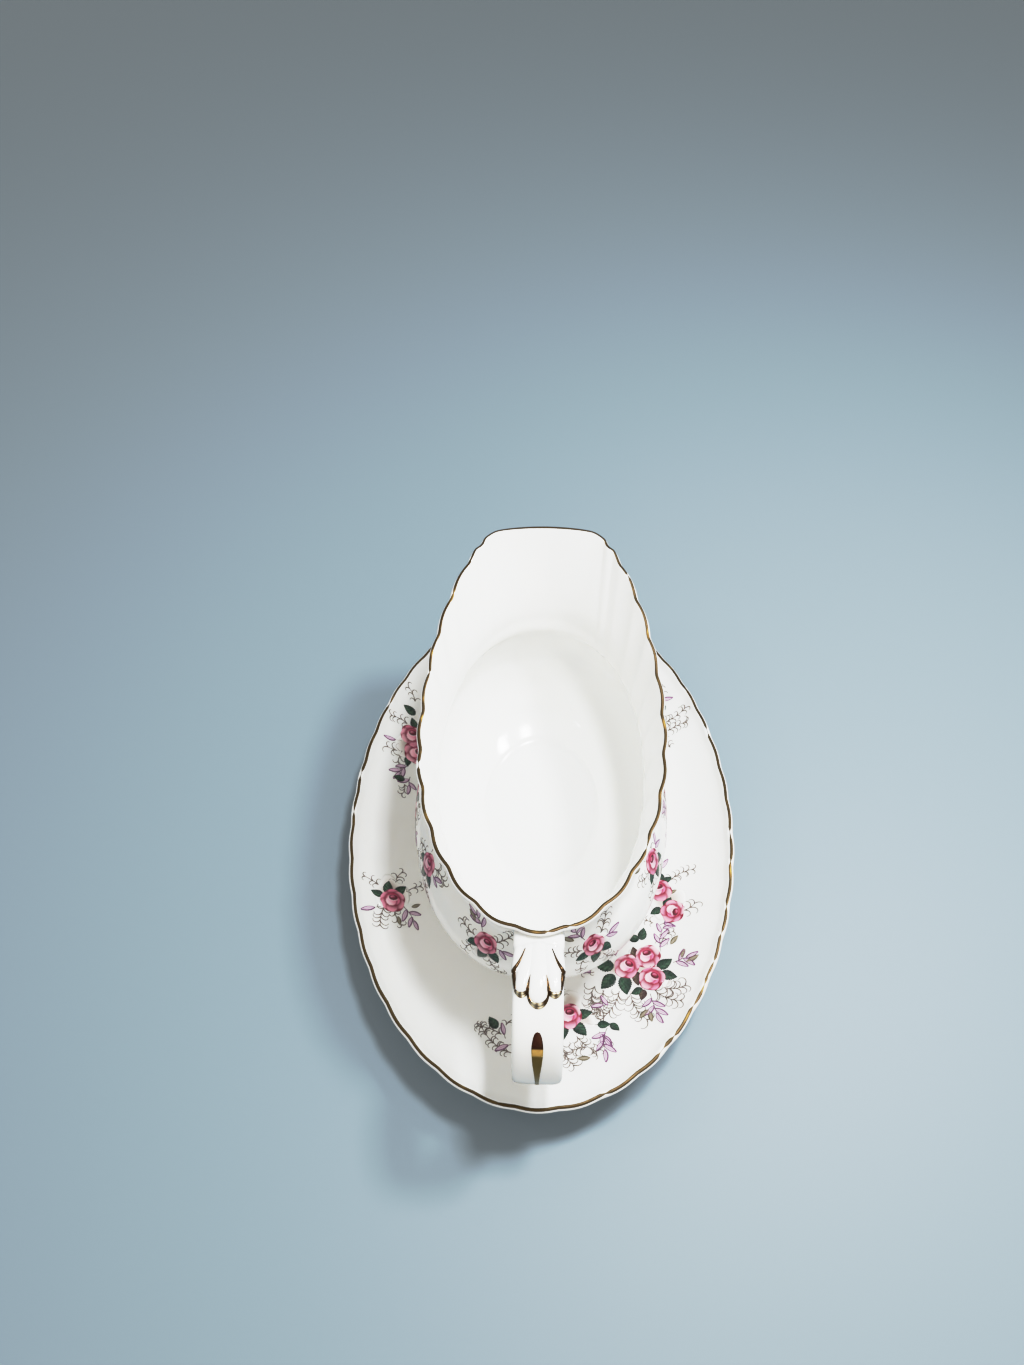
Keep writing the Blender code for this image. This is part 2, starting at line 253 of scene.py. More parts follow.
def waver(count, seed, waves=9):
    """Smooth random values between about -1 and 1 that close up round a ring."""
    draw = random.Random(seed)
    turn = np.linspace(0, 2 * np.pi, count, endpoint=False)
    total = sum(math.sin(1.7 * n) * np.sin(n * turn + draw.uniform(0, 6.3))
                for n in range(3, 3 + waves))
    return total / np.abs(total).max()


def grid_normals(grid):
    """Unit normals of rings of points; on a cup whose rings climb they point outwards."""
    along = np.gradient(grid, axis=0)
    around = np.roll(grid, -1, axis=1) - np.roll(grid, 1, axis=1)
    return unit(np.cross(around, along))


def ring_faces(rings, stations, closed_loop=False, first=0):
    """Quads between rings of points, looking out where grid_normals does."""
    i = np.arange(rings if closed_loop else rings - 1)[:, None]
    j = np.arange(stations)[None]
    low, high = i * stations, (i + 1) % rings * stations
    k = (j + 1) % stations
    quads = np.stack([low + j, low + k, high + k, high + j], axis=-1)
    return (quads.reshape(-1, 4) + first).tolist()


def closed_grid(grid, start_pole, end_pole):
    """Points and faces of rings closed by a fan at each end."""
    rings, stations = grid.shape[:2]
    points = np.concatenate([grid.reshape(-1, 3), [start_pole, end_pole]])
    faces = ring_faces(rings, stations)
    first, last, under = rings * stations, rings * stations + 1, (rings - 1) * stations
    for j in range(stations):
        k = (j + 1) % stations
        faces.append((first, k, j))
        faces.append((under + j, under + k, last))
    return points, faces


def shell_rings(outer, wall, lip_steps=12):
    """Rings up the outside of a wall, over a half-round edge and down its inside."""
    normals = grid_normals(outer)
    turns = np.linspace(0, np.pi, lip_steps + 1)[1:-1]
    lip = [lip_points(outer, wall, turn)[0] for turn in turns]
    inner = outer - wall * normals
    return np.concatenate([outer, lip, inner[::-1]])


def lip_points(outer, wall, turn):
    """Points of the half-round edge and their outward directions; turn 0 is outside, pi inside."""
    out = grid_normals(outer[-3:])[-1]
    rise = unit(outer[-1] - outer[-2])
    half = np.broadcast_to(wall, outer.shape[:2] + (1,))[-1] / 2
    turn = np.broadcast_to(turn, outer.shape[1:2])[:, None]
    facing = np.cos(turn) * out + np.sin(turn) * rise
    return outer[-1] + half * (facing - out), facing


# Pieces

def new_object(name, data):
    item = bpy.data.objects.new(name, data)
    bpy.context.scene.collection.objects.link(item)
    return item


def add_piece(name, body, points, faces, materials, tints=None):
    mesh = bpy.data.meshes.new(name)
    mesh.from_pydata((np.asarray(points) * MM).tolist(), [], faces)
    for material in materials:
        mesh.materials.append(material)
    if tints is not None:
        colours = np.concatenate([np.asarray(tints), np.ones((len(tints), 1))], axis=1)
        layer = mesh.color_attributes.new("tint", "FLOAT_COLOR", "POINT")
        layer.data.foreach_set("color", colours.ravel())
    mesh.shade_smooth()
    item = new_object(name, mesh)
    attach(item, body)
    return item


def surface_tree(points, faces):
    return BVHTree.FromPolygons([Vector(p) for p in np.asarray(points).tolist()], faces)


def bare_underside(item, height):
    """Give the faces that look down near the given height the second material."""
    for face in item.data.polygons:
        if face.normal.z < -0.6 and face.center.z < height * MM:
            face.material_index = 1


# Stand

def stand_outside():
    """The underside of the dish, as rings from near its middle out to the edge."""
    per_lobe = 8
    count = STAND_LOBES * per_lobe
    length, width, _ = STAND_OVALS[-1]
    angles = even_angles(lambda a: (length * np.cos(a), width * np.sin(a)), 0, 2 * np.pi, count)[:-1]
    place = np.arange(count) / per_lobe + 0.5
    ovals = []
    for (half_length, half_width, height), depth in zip(STAND_OVALS, STAND_LOBE_DEPTH):
        bulge = depth * lobe(place)
        x = (half_length + bulge) * np.cos(angles)
        y = (half_width + bulge) * np.sin(angles)
        ovals.append(np.stack([x, y, np.full(count, height)], axis=1))
    return lofted(ovals, steps=12, centre_x=0.0)


def lofted(ovals, steps, centre_x):
    """Rings through the ovals, so many steps from each to the next, with the flat middle filled.

    They stop short of the last oval, to leave room for a round edge.
    """
    ovals = np.stack(ovals)
    stations = np.arange(ovals.shape[1])
    top, step = len(ovals) - 1, 0.02
    just_below = spline(ovals, np.full(len(stations), top - step), stations)
    level_height = np.linalg.norm(just_below - ovals[-1], axis=1) / step
    levels = np.linspace(0, top, steps * top + 1)[:, None]
    drop = np.clip(levels - top + 1, 0, 1) * EDGE_DROP / level_height
    rings = spline(ovals, levels - drop, stations)
    centre = np.array([centre_x, 0, 0]) + rings[0].mean(axis=0) * (0, 0, 1)
    inside = [centre + share * (rings[0] - centre) for share in np.linspace(0.08, 0.94, MIDDLE_RINGS)]
    return np.concatenate([inside, rings])


def make_stand(china, bare, gilt):
    outer = stand_outside()
    rings = shell_rings(outer, STAND_WALL)
    low = np.array([0, 0, STAND_OVALS[0][2]])
    points, faces = closed_grid(rings, low, low + (0, 0, STAND_WALL))
    dish = add_piece("stand_dish_glazed", "stand", points, faces, [china])
    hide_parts("stand_dish")
    make_gilt_edge("stand_rim_gilding", "stand", outer, STAND_WALL, (98, 152), gilt, seed=5,
                   glare_dash_share=0.24)
    wide, deep = STAND_FOOT_WIDTH, STAND_FOOT_TOP
    profile = rounded([(0, 0), (STAND_FOOT_FLARE, deep), (-wide, deep), (-wide, 0)], radius=0.9)
    make_foot("stand_foot_ring", "stand", profile, STAND_FOOT_OUTER, 0.0, china, bare)
    return surface_tree(points, faces)


def rounded(corners, radius, steps=6):
    """Closed outline with its corners rounded, run the same way round."""
    outline = []
    corners = np.asarray(corners, float)
    befores, afters = np.roll(corners, 1, axis=0), np.roll(corners, -1, axis=0)
    for before, corner, after in zip(befores, corners, afters):
        to_before, to_after = unit(before - corner), unit(after - corner)
        for t in np.linspace(0, 1, steps + 1):
            outline.append(corner + radius * ((1 - t) ** 2 * to_before + t ** 2 * to_after))
    return outline


def make_foot(node, body, profile, half_sizes, centre, china, bare):
    """A ring whose section is a profile of distances out from an oval, and heights."""
    turn = np.linspace(0, 2 * np.pi, 240, endpoint=False)
    rings = []
    for out, height in profile:
        x = centre + (half_sizes[0] + out) * np.cos(turn)
        y = (half_sizes[1] + out) * np.sin(turn)
        rings.append(np.stack([x, y, np.full(len(turn), height)], axis=1))
    rings = np.stack(rings)
    faces = ring_faces(*rings.shape[:2], closed_loop=True)
    foot = add_piece(node + "_glazed", body, rings.reshape(-1, 3), faces, [china, bare])
    bare_underside(foot, min(height for _, height in profile) + 0.5)
    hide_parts(node)


def make_gilt_edge(name, body, outer, wall, turns, gilt, seed, glare_dash_share=0.0):
    """Film of gold along the edge of a wall, between two turns of its half-round, in degrees.

    It is worn thin in places, and broken into dashes for a share of the way round past its handle end:
    gaps that show the china's white as a painted highlight, where glare would break the line.
    """
    count = outer.shape[1]
    start = turns[0] + 5 * waver(count, seed)
    end = turns[1] + 5 * waver(count, seed + 1)
    rub = smooth_step(0.5, 0.8, waver(count, seed + 3, waves=70))
    past = np.arange(count) / count - 0.5
    # painted highlight: dashes cut into the gold where glare would break it
    dashes = smooth_step(0.1, 0.3, waver(count, seed + 4, waves=110)) * (past > 0) * (past < glare_dash_share)
    worn_and_glare_gap = GAP_SHARE * np.maximum(rub, dashes) * (end - start)
    start, end = np.radians(start + worn_and_glare_gap), np.radians(end - worn_and_glare_gap)
    film = []
    for lift, shares in ((GILT_LIFT, np.linspace(0, 1, 7)), (-GILT_SUNK, np.linspace(1, 0, 7))):
        for share in shares:
            points, facing = lip_points(outer, wall, start + (end - start) * share)
            film.append(points + lift * facing)
    film = np.stack(film)
    faces = ring_faces(*film.shape[:2], closed_loop=True)
    worn = smooth_step(0.35, 0.9, waver(count, seed + 2, waves=60))
    # painted dark reflection, mixed at random with the gold's own brown as it wears
    tints = np.broadcast_to(shade(RIM_GOLD_PAINTED_DARK, GOLD_BROWN, worn), film.shape)
    add_piece(name, body, film.reshape(-1, 3), faces, [gilt], tints.reshape(-1, 3))


# Bowl

def signed_power(value, power):
    return np.sign(value) * np.abs(value) ** power


def superellipse(back, middle, front, half_width, power, angle):
    reach = np.where(np.cos(angle) > 0, front - middle, middle - back)
    x = middle + reach * signed_power(np.cos(angle), 2 / power)
    return x, half_width * signed_power(np.sin(angle), 2 / power)


def cut_lip(x, y):
    limit = LIP_X - LIP_BOW * (y / LIP_HALF_WIDTH) ** 2
    return -LIP_SOFTNESS * np.logaddexp(-x / LIP_SOFTNESS, -limit / LIP_SOFTNESS)


def rim_outline(angle):
    x, y = superellipse(*BOWL_OVALS[-1][:4], 2, angle)
    return cut_lip(x, y), y


def rim_rise(x):
    to_spout = np.maximum(0, (x - SPOUT_RISE_START) / SPOUT_RISE_LENGTH)
    to_back = np.maximum(0, (BACK_RISE_START - x) / BACK_RISE_LENGTH)
    return SPOUT_RISE * to_spout ** SPOUT_RISE_POWER + BACK_RISE * to_back ** BACK_RISE_POWER


def bowl_stations(per_lobe, lip_steps):
    """Angles round the bowl, each with its place among the lobes; the lip lies in the first notch."""
    _, middle, front, _ = BOWL_OVALS[-1][:4]
    corner = math.acos((LIP_X - LIP_BOW - middle) / (front - middle))
    steps = round(RIM_LOBES * per_lobe)
    side = even_angles(rim_outline, corner, np.pi, steps)
    lip = np.linspace(0, corner, lip_steps, endpoint=False)
    angles = np.concatenate([lip, side])
    places = np.concatenate([np.zeros(lip_steps), np.arange(steps + 1) / per_lobe])
    return (np.concatenate([angles, -angles[1:-1][::-1]]),
            np.concatenate([places, places[1:-1][::-1]]))


def bowl_outside():
    """The outside of the bowl, as rings from near the middle of its base up to the edge."""
    angles, places = bowl_stations(per_lobe=16, lip_steps=16)
    ovals = []
    for row, (back, middle, front, half_width, height, follow, depth) in enumerate(BOWL_OVALS):
        power = 2 + (BELLY_POWER - 2) * math.sin(math.pi * row / (len(BOWL_OVALS) - 1))
        x, y = superellipse(back, middle, front, half_width, power, angles)
        notch = LIP_NOTCH_DEPTH * np.exp(-((places - LIP_NOTCH) / LIP_NOTCH_WIDTH) ** 2)
        bulge = depth * (lobe(places) - notch)
        x = x + bulge * np.cos(angles)
        y = y + bulge * np.sin(angles)
        if row == len(BOWL_OVALS) - 1:
            x = cut_lip(x, y)
        ovals.append(np.stack([x, y, height + follow * rim_rise(x)], axis=1))
    return lofted(ovals, steps=9, centre_x=FOOT_CENTRE)


def bowl_wall(outer):
    """Thickness of the wall at every point, less towards the rim, more under the floor's crease."""
    height = outer[..., 2:]
    thinning = smooth_step(40, 75, height) * (BOWL_WALL - RIM_WALL)
    middle = np.array([FOOT_CENTRE, 0])
    crease = np.linalg.norm((outer[MIDDLE_RINGS] - (FOOT_CENTRE, 0, 0))[:, :2], axis=1)
    spread = np.linalg.norm(outer[..., :2] - middle, axis=-1) / crease
    on_floor = (height < BASE + 0.5) * (1 - smooth_step(0.955, 1.0, spread))[..., None]
    ledge = LEDGE * np.exp(-((height - LEDGE_HEIGHT) / LEDGE_WIDTH) ** 2)
    return BOWL_WALL - thinning - FLOOR_STEP * on_floor + ledge


def make_bowl(china, gilt):
    outer = bowl_outside()
    wall = bowl_wall(outer)
    rings = shell_rings(outer, wall)
    low = np.array([FOOT_CENTRE, 0, BASE])
    points, faces = closed_grid(rings, low, low + (0, 0, BOWL_WALL - FLOOR_STEP))
    bowl = add_piece("boat_bowl_glazed", "boat", points, faces, [china])
    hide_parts("boat_bowl")
    make_gilt_edge("boat_rim_gilding", "boat", outer, wall, (80, 150), gilt, seed=11)
    return surface_tree(points, faces)


def make_boat_foot(china, bare):
    height = FOOT_TOP - FOOT_BOTTOM
    corners = [(0, 0), (-2.6, 0.52 * height), (-2.2, height), (-5.8, height), (-3.8, 0)]
    profile = rounded([(out, FOOT_BOTTOM + up) for out, up in corners], radius=0.8)
    make_foot("boat_foot_ring", "boat", profile, BOAT_FOOT_OUTER, FOOT_CENTRE, china, bare)


# Handle

def handle_frame(distance):
    """Middle, direction and outward side of the handle, at distances run along it."""
    last = len(HANDLE_LINE) - 1
    place = np.clip(np.asarray(distance, float) / HANDLE_LENGTH * last, 0, last)
    step = 0.01
    x, z = np.moveaxis(spline(HANDLE_LINE, place), -1, 0)
    ahead = unit(spline(HANDLE_LINE, np.minimum(place + step, last))
                 - spline(HANDLE_LINE, np.maximum(place - step, 0)))
    zero = np.zeros_like(x)
    along = np.stack([ahead[..., 0], zero, ahead[..., 1]], axis=-1)
    outward = np.stack([ahead[..., 1], zero, -ahead[..., 0]], axis=-1)
    return np.stack([x, zero, z], axis=-1), along, outward


def root_flare(distance):
    """How much wider the strap is near its ends, where slip fills the joint."""
    from_end = np.minimum(distance, HANDLE_LENGTH - distance)
    return np.exp(-(from_end / 2.2) ** 2)


def handle_section(distance, turn):
    """Points round the strap: at turn pi/2 they are in the middle of its outer face."""
    middle, _, outward = handle_frame(distance)
    across = 0.5 * HANDLE_WIDTH + 0.25 * root_flare(distance)
    proud = 0.5 * HANDLE_THICKNESS + 0.5 * root_flare(distance)
    sideways = across * signed_power(np.cos(turn), 2 / HANDLE_POWER)
    outwards = proud * signed_power(np.sin(turn), 2 / HANDLE_POWER)
    return middle + sideways[:, None] * (0, 1, 0) + outwards[:, None] * outward


def section_turns(count):
    """Turns whose points are spread evenly enough round the strap's squared section."""
    turn = np.linspace(0, 2 * np.pi, count, endpoint=False)
    return turn - 0.2 * np.sin(4 * turn)


def make_handle(china, bowl_tree):
    turns = section_turns(56)
    steps = 150
    distances = np.linspace(0, HANDLE_LENGTH, steps + 1)
    rings = [handle_section(np.full(len(turns), d), turns) for d in distances]
    upper = scribed(rings[0], 0.0, -1, bowl_tree)
    lower = scribed(rings[-1], HANDLE_LENGTH, 1, bowl_tree)
    rings = np.stack([upper, *rings, lower])
    points, faces = closed_grid(rings, rings[0].mean(axis=0), rings[-1].mean(axis=0))
    handle = add_piece("handle_glazed", "boat", points, [face[::-1] for face in faces], [china])
    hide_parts("handle")


def scribed(section, distance, way, bowl_tree):
    """A ring that carries the strap's end on into the wall, which curves across it."""
    _, along, _ = handle_frame(np.array(distance))
    ray = Vector(along * way)
    hits = [bowl_tree.ray_cast(Vector(point) - ray * 8, ray)[0] for point in section]
    return np.array([hit + ray * HANDLE_SUNK for hit in hits])


# Leaf in relief on the handle

def leaf_height(distance, across):
    """Height of the leaf above the strap: the highest of its lobes, and below nought beside them."""
    best = np.full(np.broadcast(distance, across).shape, LEAF_UNDERSIDE)
    for root, tip, half_widths, height in LEAF_LOBES:
        for side in ((1,) if root[1] == 0 else (1, -1)):
            a = np.array([root[0], side * root[1]])
            b = np.array([tip[0], side * tip[1]])
            run = b - a
            share = ((distance - a[0]) * run[0] + (across - a[1]) * run[1]) / run.dot(run)
            share = np.clip(share, 0, 1)
            away = np.hypot(distance - a[0] - share * run[0], across - a[1] - share * run[1])
            swell = half_widths[0] + (half_widths[1] - half_widths[0]) * share
            dome = height * (0.55 + 0.45 * share) * np.sqrt(np.maximum(0, 1 - (away / swell) ** 2))
            best = np.maximum(best, np.where(away < swell, dome, -0.5 * (away - swell)))
    return best


def strap_point(distance, across, lift):
    """Point over the strap's outer face, and the face's normal there."""
    middle, _, outward = handle_frame(distance)
    bent = np.clip(np.abs(across) / (0.5 * HANDLE_WIDTH), 0, 0.995)
    proud = 0.5 * HANDLE_THICKNESS * (1 - bent ** HANDLE_POWER) ** (1 / HANDLE_POWER)
    lean = HANDLE_THICKNESS / HANDLE_WIDTH * bent ** 3 / np.maximum((1 - bent ** 4) ** 0.75, 0.05)
    normal = unit(outward + (np.sign(across) * lean)[..., None] * (0, 1, 0))
    face = middle + across[..., None] * (0, 1, 0) + proud[..., None] * outward
    return face + lift[..., None] * normal, normal


def make_leaf(china):
    along = np.linspace(*LEAF_ALONG, 147)
    across = np.linspace(-LEAF_HALF_WIDTH, LEAF_HALF_WIDTH, 105)
    s, a = np.meshgrid(along, across, indexing="ij")
    top, _ = strap_point(s, a, leaf_height(s, a))
    bottom, _ = strap_point(s, a, np.full(s.shape, -1.0))
    points, faces = slab(top, bottom)
    leaf = add_piece("handle_leaf_relief", "boat", points, faces, [china])
    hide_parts("handle_leaf")


def slab(top, bottom):
    """Points and faces of a closed slab between two grids of points."""
    rows, columns = top.shape[:2]
    loop = np.concatenate([top, bottom[:, ::-1]], axis=1)
    faces = ring_faces(rows, 2 * columns)
    last = (rows - 1) * 2 * columns
    for c in range(columns - 1):
        across = 2 * columns - 1 - c
        faces.append((c, across, across - 1, c + 1))
        faces.append((last + c, last + c + 1, last + across - 1, last + across))
    return loop.reshape(-1, 3), faces


# Films of colour and gold, laid on the glaze in strokes and patches

class Film:
    """Thin closed strokes and patches laid on a surface and gathered into one piece."""

    def __init__(self, canvas=None):
        self.canvas = canvas
        self.points = []
        self.faces = []
        self.tints = []
        self.count = 0

    def add(self, points, faces, tints):
        self.points.append(points)
        self.faces += [tuple(i + self.count for i in face) for face in faces]
        self.tints.append(tints)
        self.count += len(points)

    def stroke(self, path, half_width, lift, tint, columns=3, crown=0.4):
        """Lay a stroke along a path of (u, v); tint is one colour or one for each column or point.

        The crown is how much lower the stroke is at its sides than along its middle.
        """
        path = np.asarray(path, float)
        half_width = np.maximum(np.broadcast_to(half_width, len(path)), 0.03)
        shares = np.linspace(-1, 1, columns)
        uv = path[:, None] + (half_width[:, None] * shares)[..., None] * right_of(path)[:, None]
        points, normals = self.canvas(uv)
        swell = (1 - crown * shares ** 2)[None, :, None]
        top, bottom = points + lift * swell * normals, points - UNDER_GLAZE * normals
        solid, faces = slab(top[:, ::-1], bottom[:, ::-1])
        tint = np.broadcast_to(np.asarray(tint, float), (len(path), columns, 3))[:, ::-1]
        self.add(solid, faces, np.concatenate([tint, tint[:, ::-1]], axis=1).reshape(-1, 3))

    def patch(self, centre, rings, lift, tints):
        """Lay a patch of rings of (u, v), with a colour for each point and, last, for its centre."""
        points, normals = self.canvas(np.concatenate([rings.reshape(-1, 2), [centre]]))
        top, under = points + lift * normals, points - UNDER_GLAZE * normals
        shape = rings.shape[:2] + (3,)
        grid = np.concatenate([under[:-1].reshape(shape), top[:-1].reshape(shape)[::-1]])
        solid, faces = closed_grid(grid, under[-1], top[-1])
        tint = tints[:-1].reshape(shape)
        tint = np.concatenate([tint, tint[::-1]]).reshape(-1, 3)
        self.add(solid, faces, np.concatenate([tint, tints[-1:], tints[-1:]]))

    def finish(self, name, body, material):
        if self.count:
            add_piece(name, body, np.concatenate(self.points), self.faces, [material],
                      np.concatenate(self.tints))


def projected(tree, origin, u_axis, v_axis, reach=30.0):
    """Canvas that throws its points straight down onto a surface."""
    down = -np.cross(u_axis, v_axis)

    def throw(uv):
        flat = origin + uv[..., :1] * u_axis + uv[..., 1:] * v_axis - down * reach
        points, normals = np.empty(flat.shape), np.empty(flat.shape)
        for index in np.ndindex(flat.shape[:-1]):
            start = Vector(flat[index])
            hit, normal, _, _ = tree.ray_cast(start, Vector(down))
            if hit is None:
                hit, normal, _, _ = tree.find_nearest(start + Vector(down) * reach)
            points[index], normals[index] = hit, normal
        return points, normals
    return throw


def wall_canvas(tree, azimuth, height):
    """Canvas on the outside of the bowl, u to the right and v up as one looks at it."""
    angle = math.radians(azimuth)
    outward = np.array([math.cos(angle), math.sin(angle), 0.0])
    start = outward * 150 + (0, 0, height)
    hit, normal, _, _ = tree.ray_cast(Vector(start), Vector(-outward))
    normal = np.array(normal)
    right = unit(np.cross((0, 0, 1), normal))
    return projected(tree, np.array(hit), right, np.cross(normal, right), reach=12.0)


def heading(angle):
    return np.stack([np.cos(angle), np.sin(angle)], axis=-1)


def bowed(start, angle, length, bend, steps, power=1.0):
    """Path from start that leaves at an angle and turns by bend, which a power above 1 delays."""
    turn = angle + bend * np.linspace(0, 1, steps) ** power
    ahead = heading(turn[:-1]) * length / (steps - 1)
    return np.asarray(start) + np.concatenate([[(0, 0)], np.cumsum(ahead, axis=0)])


def right_of(path):
    """Unit directions to the right of a path of (u, v)."""
    ahead = unit(np.gradient(path, axis=0) + 1e-12)
    return np.stack([ahead[:, 1], -ahead[:, 0]], axis=1)


def rose_outline(turn, wobble):
    """Distance from a rose's middle to its edge: five full petals, none quite like the next."""
    return 0.93 + 0.09 * np.abs(np.cos(2.5 * turn + wobble[0])) + 0.04 * np.sin(2 * turn + wobble[1])


def painted_over(tints, points, petal, dark, light, shadow=0.75):
    """Paint a round petal over what is there: a shadow round it, then a tone lighter to one side."""
    x, y, radius, toward = petal
    away = (points - (x, y)) / radius
    distance = np.linalg.norm(away, axis=-1)
    tints = shade(tints, PETAL_DEEP, shadow * np.exp(-(np.maximum(distance - 1, 0) / 0.22) ** 2))
    tone = smooth_step(-0.8, 0.8, away @ heading(toward))
    return shade(tints, shade(dark, light, tone), smooth_step(1.04, 0.92, distance))


def rose_tints(points, draw):
    """Colours of a rose at points in its own frame, whose edge is about one from its middle.

    Its mouth opens upwards: outer petals first, then the cup and its front petals, then the mouth
    with a bud inside it.
    """
    tints = np.tile(PETAL_DEEP, points.shape[:-1] + (1,))
    for degrees in (95, 35, 155, -30, 210, 270):
        angle = math.radians(degrees + draw.uniform(-12, 12))
        x, y = 0.60 * heading(angle)
        light = shade(PETAL_LIGHT, PETAL_PALE, draw.uniform(0.0, 0.9))
        tints = painted_over(tints, points, (x, y, draw.uniform(0.40, 0.50), angle), PETAL_DEEP, light)
    points = points - (draw.uniform(-0.12, 0.12), draw.uniform(0.0, 0.14))
    tints = painted_over(tints, points, (0.0, 0.04, 0.55, -1.9), PETAL_MID, PETAL_LIGHT, 0.95)
    tints = painted_over(tints, points, (0.22, -0.06, 0.36, -0.7), PETAL_MID, PETAL_LIGHT)
    tints = painted_over(tints, points, (-0.12, -0.12, 0.41, -2.4), PETAL_LIGHT, PETAL_PALE)
    mouth = (points - ROSE_MOUTH) / (0.34, 0.23)
    reach = np.linalg.norm(mouth, axis=-1)
    lip = smooth_step(1.40, 1.2, reach) * smooth_step(0.4, -0.6, mouth @ heading(1.1))
    tints = shade(tints, PETAL_PALE, lip)
    tints = shade(tints, HEART, smooth_step(1.12, 0.92, reach))
    bud = (points - (0.02, 0.25)) / (0.20, 0.13)
    tone = smooth_step(-0.6, 0.9, bud @ heading(2.2))
    in_bud = smooth_step(1.05, 0.85, np.linalg.norm(bud, axis=-1))
    return shade(tints, shade(PETAL_DEEP, PETAL_LIGHT, tone), in_bud)


def circled(count):
    """Directions all round a circle, as angles and as unit vectors."""
    turn = np.linspace(0, 2 * np.pi, count, endpoint=False)
    return turn, heading(turn)


def slim(steps):
    """Shares of the way along a slender leaf, and how wide it is there, up to one."""
    t = np.linspace(0, 1, steps)
    return t, np.sin(np.pi * (0.02 + 0.96 * t ** 0.9)) ** 0.9


